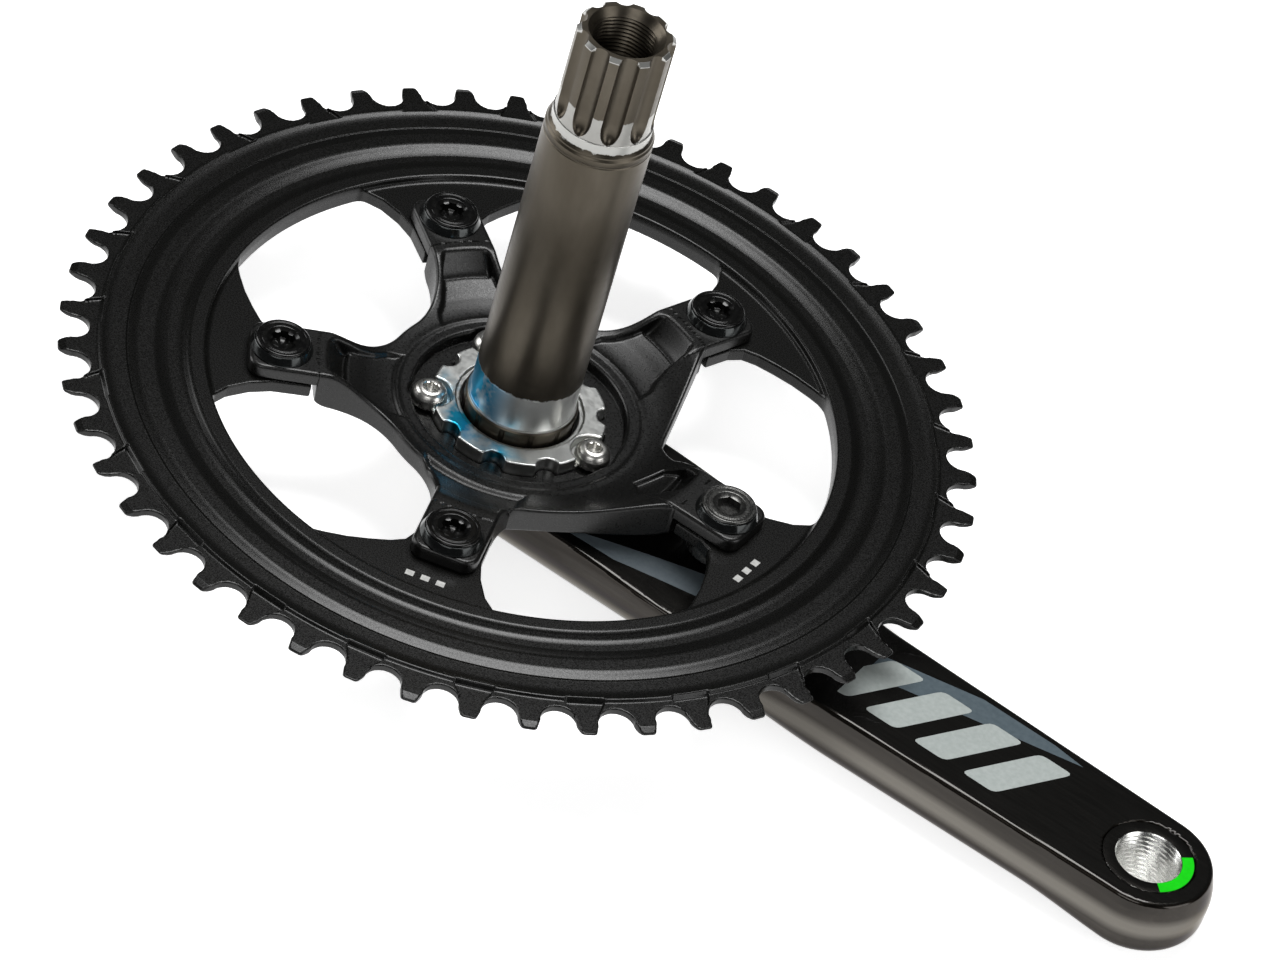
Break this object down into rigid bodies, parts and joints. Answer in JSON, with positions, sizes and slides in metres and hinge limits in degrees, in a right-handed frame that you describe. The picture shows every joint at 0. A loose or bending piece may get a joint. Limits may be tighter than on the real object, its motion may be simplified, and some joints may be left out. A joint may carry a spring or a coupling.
{
  "type": "bicycle crankset",
  "caption": "Right-hand bicycle crankset: hollow carbon crank arm with a bonded hollow spindle, a bolted five-arm spider and a one-piece toothed chainring.",
  "frame": {"origin": "on the spindle axis, level with the inboard face of the chainring tabs, where the drive-side bearing seat starts", "axes": "+Z along the spindle towards its free (non-drive) end, +X along the crank arm towards the pedal axis"},
  "size_m": [0.2925, 0.2082, 0.1352],
  "materials": {
    "carbon": "gloss clear coat over dark carbon",
    "foam": "closed-cell foam",
    "bright_alloy": "machined bright",
    "spindle_steel": "dark brown-grey coated steel with bright ground seats",
    "insert_steel": "machined thread",
    "green_sticker": "gloss film",
    "spider_black": "satin black anodised forging",
    "screw_steel": "bright plated",
    "ring_black": "satin black anodised, turned",
    "nut_black": "gloss black anodised",
    "collar_black": "polished black anodised",
    "bolt_black": "gloss black anodised",
    "arm_side_steel": "turned gunmetal steel"
  },
  "bodies": {
    "crank": {"arm_shell": "carbon", "arm_core": "foam", "spider_mount": "bright_alloy", "spindle": "spindle_steel", "pedal_insert": "insert_steel", "length_sticker": "green_sticker", "spider": "spider_black", "spider_screws": "screw_steel", "chainring": "ring_black", "chainring_nuts": "nut_black", "arm_side_nut": "arm_side_steel"},
    "collar_1": {"bolt_collar_1": "collar_black"},
    "bolt_1": {"chainring_bolt_1": "arm_side_steel"},
    "collar_2": {"bolt_collar_2": "collar_black"},
    "bolt_2": {"chainring_bolt_2": "bolt_black"},
    "collar_3": {"bolt_collar_3": "collar_black"},
    "bolt_3": {"chainring_bolt_3": "bolt_black"},
    "collar_4": {"bolt_collar_4": "collar_black"},
    "bolt_4": {"chainring_bolt_4": "bolt_black"},
    "collar_5": {"bolt_collar_5": "collar_black"},
    "bolt_5": {"chainring_bolt_5": "bolt_black"}
  },
  "joints": [
    {"name": "collar_lift_1", "type": "slide", "parent": "crank", "child": "collar_1", "axis": [0, 0, 1], "range_m": [0, 0.00495]},
    {"name": "bolt_turn_1", "type": "hinge", "parent": "collar_1", "child": "bolt_1", "pos_m": [0.055, 0, 0], "axis": [0, 0, 1], "range_deg": [0, 2378]},
    {"name": "collar_lift_2", "type": "slide", "parent": "crank", "child": "collar_2", "axis": [0, 0, 1], "range_m": [0, 0.00495]},
    {"name": "bolt_turn_2", "type": "hinge", "parent": "collar_2", "child": "bolt_2", "pos_m": [0.017, 0.05231, 0], "axis": [0, 0, 1], "range_deg": [0, 2378]},
    {"name": "collar_lift_3", "type": "slide", "parent": "crank", "child": "collar_3", "axis": [0, 0, 1], "range_m": [0, 0.00495]},
    {"name": "bolt_turn_3", "type": "hinge", "parent": "collar_3", "child": "bolt_3", "pos_m": [-0.0445, 0.03233, 0], "axis": [0, 0, 1], "range_deg": [0, 2378]},
    {"name": "collar_lift_4", "type": "slide", "parent": "crank", "child": "collar_4", "axis": [0, 0, 1], "range_m": [0, 0.00495]},
    {"name": "bolt_turn_4", "type": "hinge", "parent": "collar_4", "child": "bolt_4", "pos_m": [-0.0445, -0.03233, 0], "axis": [0, 0, 1], "range_deg": [0, 2378]},
    {"name": "collar_lift_5", "type": "slide", "parent": "crank", "child": "collar_5", "axis": [0, 0, 1], "range_m": [0, 0.00495]},
    {"name": "bolt_turn_5", "type": "hinge", "parent": "collar_5", "child": "bolt_5", "pos_m": [0.017, -0.05231, 0], "axis": [0, 0, 1], "range_deg": [0, 2378]}
  ],
  "couplings": [
    {"joint": "bolt_turn_1", "follows": "collar_lift_1", "rad_per_m": 8377.6},
    {"joint": "bolt_turn_2", "follows": "collar_lift_2", "rad_per_m": 8377.6},
    {"joint": "bolt_turn_3", "follows": "collar_lift_3", "rad_per_m": 8377.6},
    {"joint": "bolt_turn_4", "follows": "collar_lift_4", "rad_per_m": 8377.6},
    {"joint": "bolt_turn_5", "follows": "collar_lift_5", "rad_per_m": 8377.6}
  ]
}
